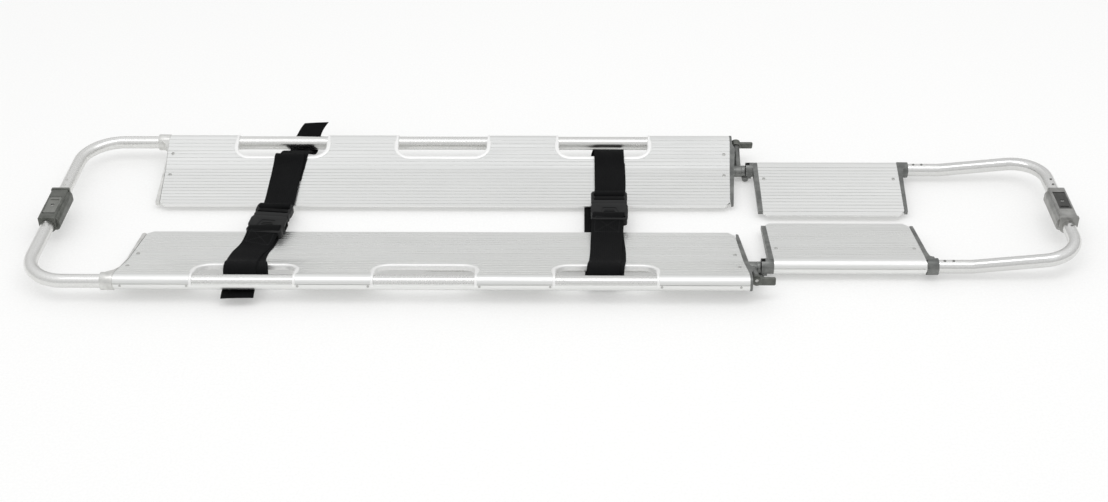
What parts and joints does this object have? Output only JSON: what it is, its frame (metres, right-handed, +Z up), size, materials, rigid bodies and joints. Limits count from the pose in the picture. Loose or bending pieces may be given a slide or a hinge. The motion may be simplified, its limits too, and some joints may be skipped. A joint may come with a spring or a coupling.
{
  "type": "folding scoop stretcher",
  "caption": "Aluminium scoop stretcher in two ribbed halves with end couplers, telescoping shin sections that fold under, handholds and buckled straps.",
  "frame": {"origin": "middle of the stretcher's footprint at floor level, at its shortest length and lying flat", "axes": "+X from head to foot, +Y to the patient's left, +Z up"},
  "size_m": [1.7088, 0.4668, 0.0549],
  "materials": {
    "frame_tube": "bright drawn aluminium tube",
    "ribbed_panel": "satin extruded aluminium with fine lengthwise ribs",
    "bright_edging": "smooth bright bead",
    "cast_alloy": "grey die-cast, slightly rough",
    "dark_casting": "dark grey die-cast",
    "steel_fastener": "plain steel",
    "bush_plastic": "black bearing plastic",
    "webbing": "black woven nylon webbing",
    "buckle_plastic": "black moulded plastic"
  },
  "bodies": {
    "right_main": {"right_main_tube": "frame_tube", "right_main_panel": "ribbed_panel", "right_handhold_beads": "bright_edging", "right_head_casting": "cast_alloy", "right_hinge_casting": "cast_alloy", "right_rod_sleeve": "frame_tube", "right_rod_bush": "bush_plastic", "right_lock_spring": "steel_fastener", "right_panel_screws": "steel_fastener", "right_main_rivets": "steel_fastener", "head_coupler_tongue": "dark_casting", "chest_strap_right": "webbing", "chest_buckle_socket": "buckle_plastic", "hip_strap_right": "webbing", "hip_buckle_socket": "buckle_plastic"},
    "left_main": {"left_main_tube": "frame_tube", "left_main_panel": "ribbed_panel", "left_handhold_beads": "bright_edging", "left_head_casting": "cast_alloy", "left_hinge_casting": "cast_alloy", "left_rod_sleeve": "frame_tube", "left_rod_bush": "bush_plastic", "left_lock_spring": "steel_fastener", "left_panel_screws": "steel_fastener", "left_main_rivets": "steel_fastener", "head_coupler_housing": "cast_alloy", "head_latch_pin": "steel_fastener", "head_latch_spring": "steel_fastener", "chest_strap_left": "webbing", "chest_buckle_plug": "buckle_plastic", "hip_strap_left": "webbing", "hip_buckle_plug": "buckle_plastic"},
    "right_rod": {"right_rod": "frame_tube", "right_rod_yoke": "dark_casting", "right_hinge_pin": "steel_fastener"},
    "left_rod": {"left_rod": "frame_tube", "left_rod_yoke": "dark_casting", "left_hinge_pin": "steel_fastener"},
    "right_leg": {"right_leg_hinge_casting": "cast_alloy", "right_leg_panel": "ribbed_panel", "right_leg_foot_casting": "cast_alloy", "right_foot_loop": "frame_tube", "right_leg_screws": "steel_fastener", "right_leg_rivets": "steel_fastener", "foot_coupler_housing": "cast_alloy", "foot_latch_pin": "steel_fastener", "foot_latch_spring": "steel_fastener"},
    "left_leg": {"left_leg_hinge_casting": "cast_alloy", "left_leg_panel": "ribbed_panel", "left_leg_foot_casting": "cast_alloy", "left_foot_loop": "frame_tube", "left_leg_screws": "steel_fastener", "left_leg_rivets": "steel_fastener", "foot_coupler_tongue": "dark_casting"},
    "right_lock_lever": {"right_lock_lever": "dark_casting"},
    "left_lock_lever": {"left_lock_lever": "dark_casting"},
    "right_lock_pin": {"right_lock_pin": "steel_fastener"},
    "left_lock_pin": {"left_lock_pin": "steel_fastener"},
    "head_latch": {"head_latch_plate": "cast_alloy"},
    "foot_latch": {"foot_latch_plate": "cast_alloy"}
  },
  "joints": [
    {"name": "halves_part", "type": "slide", "parent": "right_main", "child": "left_main", "axis": [0, 1, 0], "range_m": [0, 0.2]},
    {"name": "foot_extend", "type": "slide", "parent": "right_main", "child": "right_rod", "axis": [1, 0, 0], "range_m": [0, 0.36]},
    {"name": "left_foot_extend", "type": "slide", "parent": "left_main", "child": "left_rod", "axis": [1, 0, 0], "range_m": [0, 0.36]},
    {"name": "foot_fold", "type": "hinge", "parent": "right_rod", "child": "right_leg", "pos_m": [0.33, -0.144, 0.0055], "axis": [0, 1, 0], "range_deg": [0, 180]},
    {"name": "left_foot_fold", "type": "hinge", "parent": "left_rod", "child": "left_leg", "pos_m": [0.33, 0.144, 0.0055], "axis": [0, 1, 0], "range_deg": [0, 180]},
    {"name": "right_lock_turn", "type": "hinge", "parent": "right_main", "child": "right_lock_lever", "pos_m": [0.317, -0.20256, 0.0349], "axis": [0, -0.9521, 0.3057], "range_deg": [0, 90]},
    {"name": "left_lock_turn", "type": "hinge", "parent": "left_main", "child": "left_lock_lever", "pos_m": [0.317, 0.20256, 0.0349], "axis": [0, -0.9521, -0.3057], "range_deg": [0, 90]},
    {"name": "right_lock_plunge", "type": "slide", "parent": "right_main", "child": "right_lock_pin", "axis": [0, 0.9521, -0.3057], "range_m": [0, 0.007]},
    {"name": "left_lock_plunge", "type": "slide", "parent": "left_main", "child": "left_lock_pin", "axis": [0, -0.9521, -0.3057], "range_m": [0, 0.007]},
    {"name": "head_latch_tilt", "type": "hinge", "parent": "left_main", "child": "head_latch", "pos_m": [-0.839, -0.017, 0.048], "axis": [1, 0, 0], "range_deg": [0, 8]},
    {"name": "foot_latch_tilt", "type": "hinge", "parent": "right_leg", "child": "foot_latch", "pos_m": [0.839, -0.004, 0.052], "axis": [-1, 0, 0], "range_deg": [0, 8]}
  ],
  "couplings": [
    {"joint": "left_foot_extend", "follows": "foot_extend", "ratio": 1},
    {"joint": "left_foot_fold", "follows": "foot_fold", "ratio": 1},
    {"joint": "right_lock_plunge", "follows": "right_lock_turn", "m_per_rad": 0.00445},
    {"joint": "left_lock_plunge", "follows": "left_lock_turn", "m_per_rad": 0.00445}
  ]
}
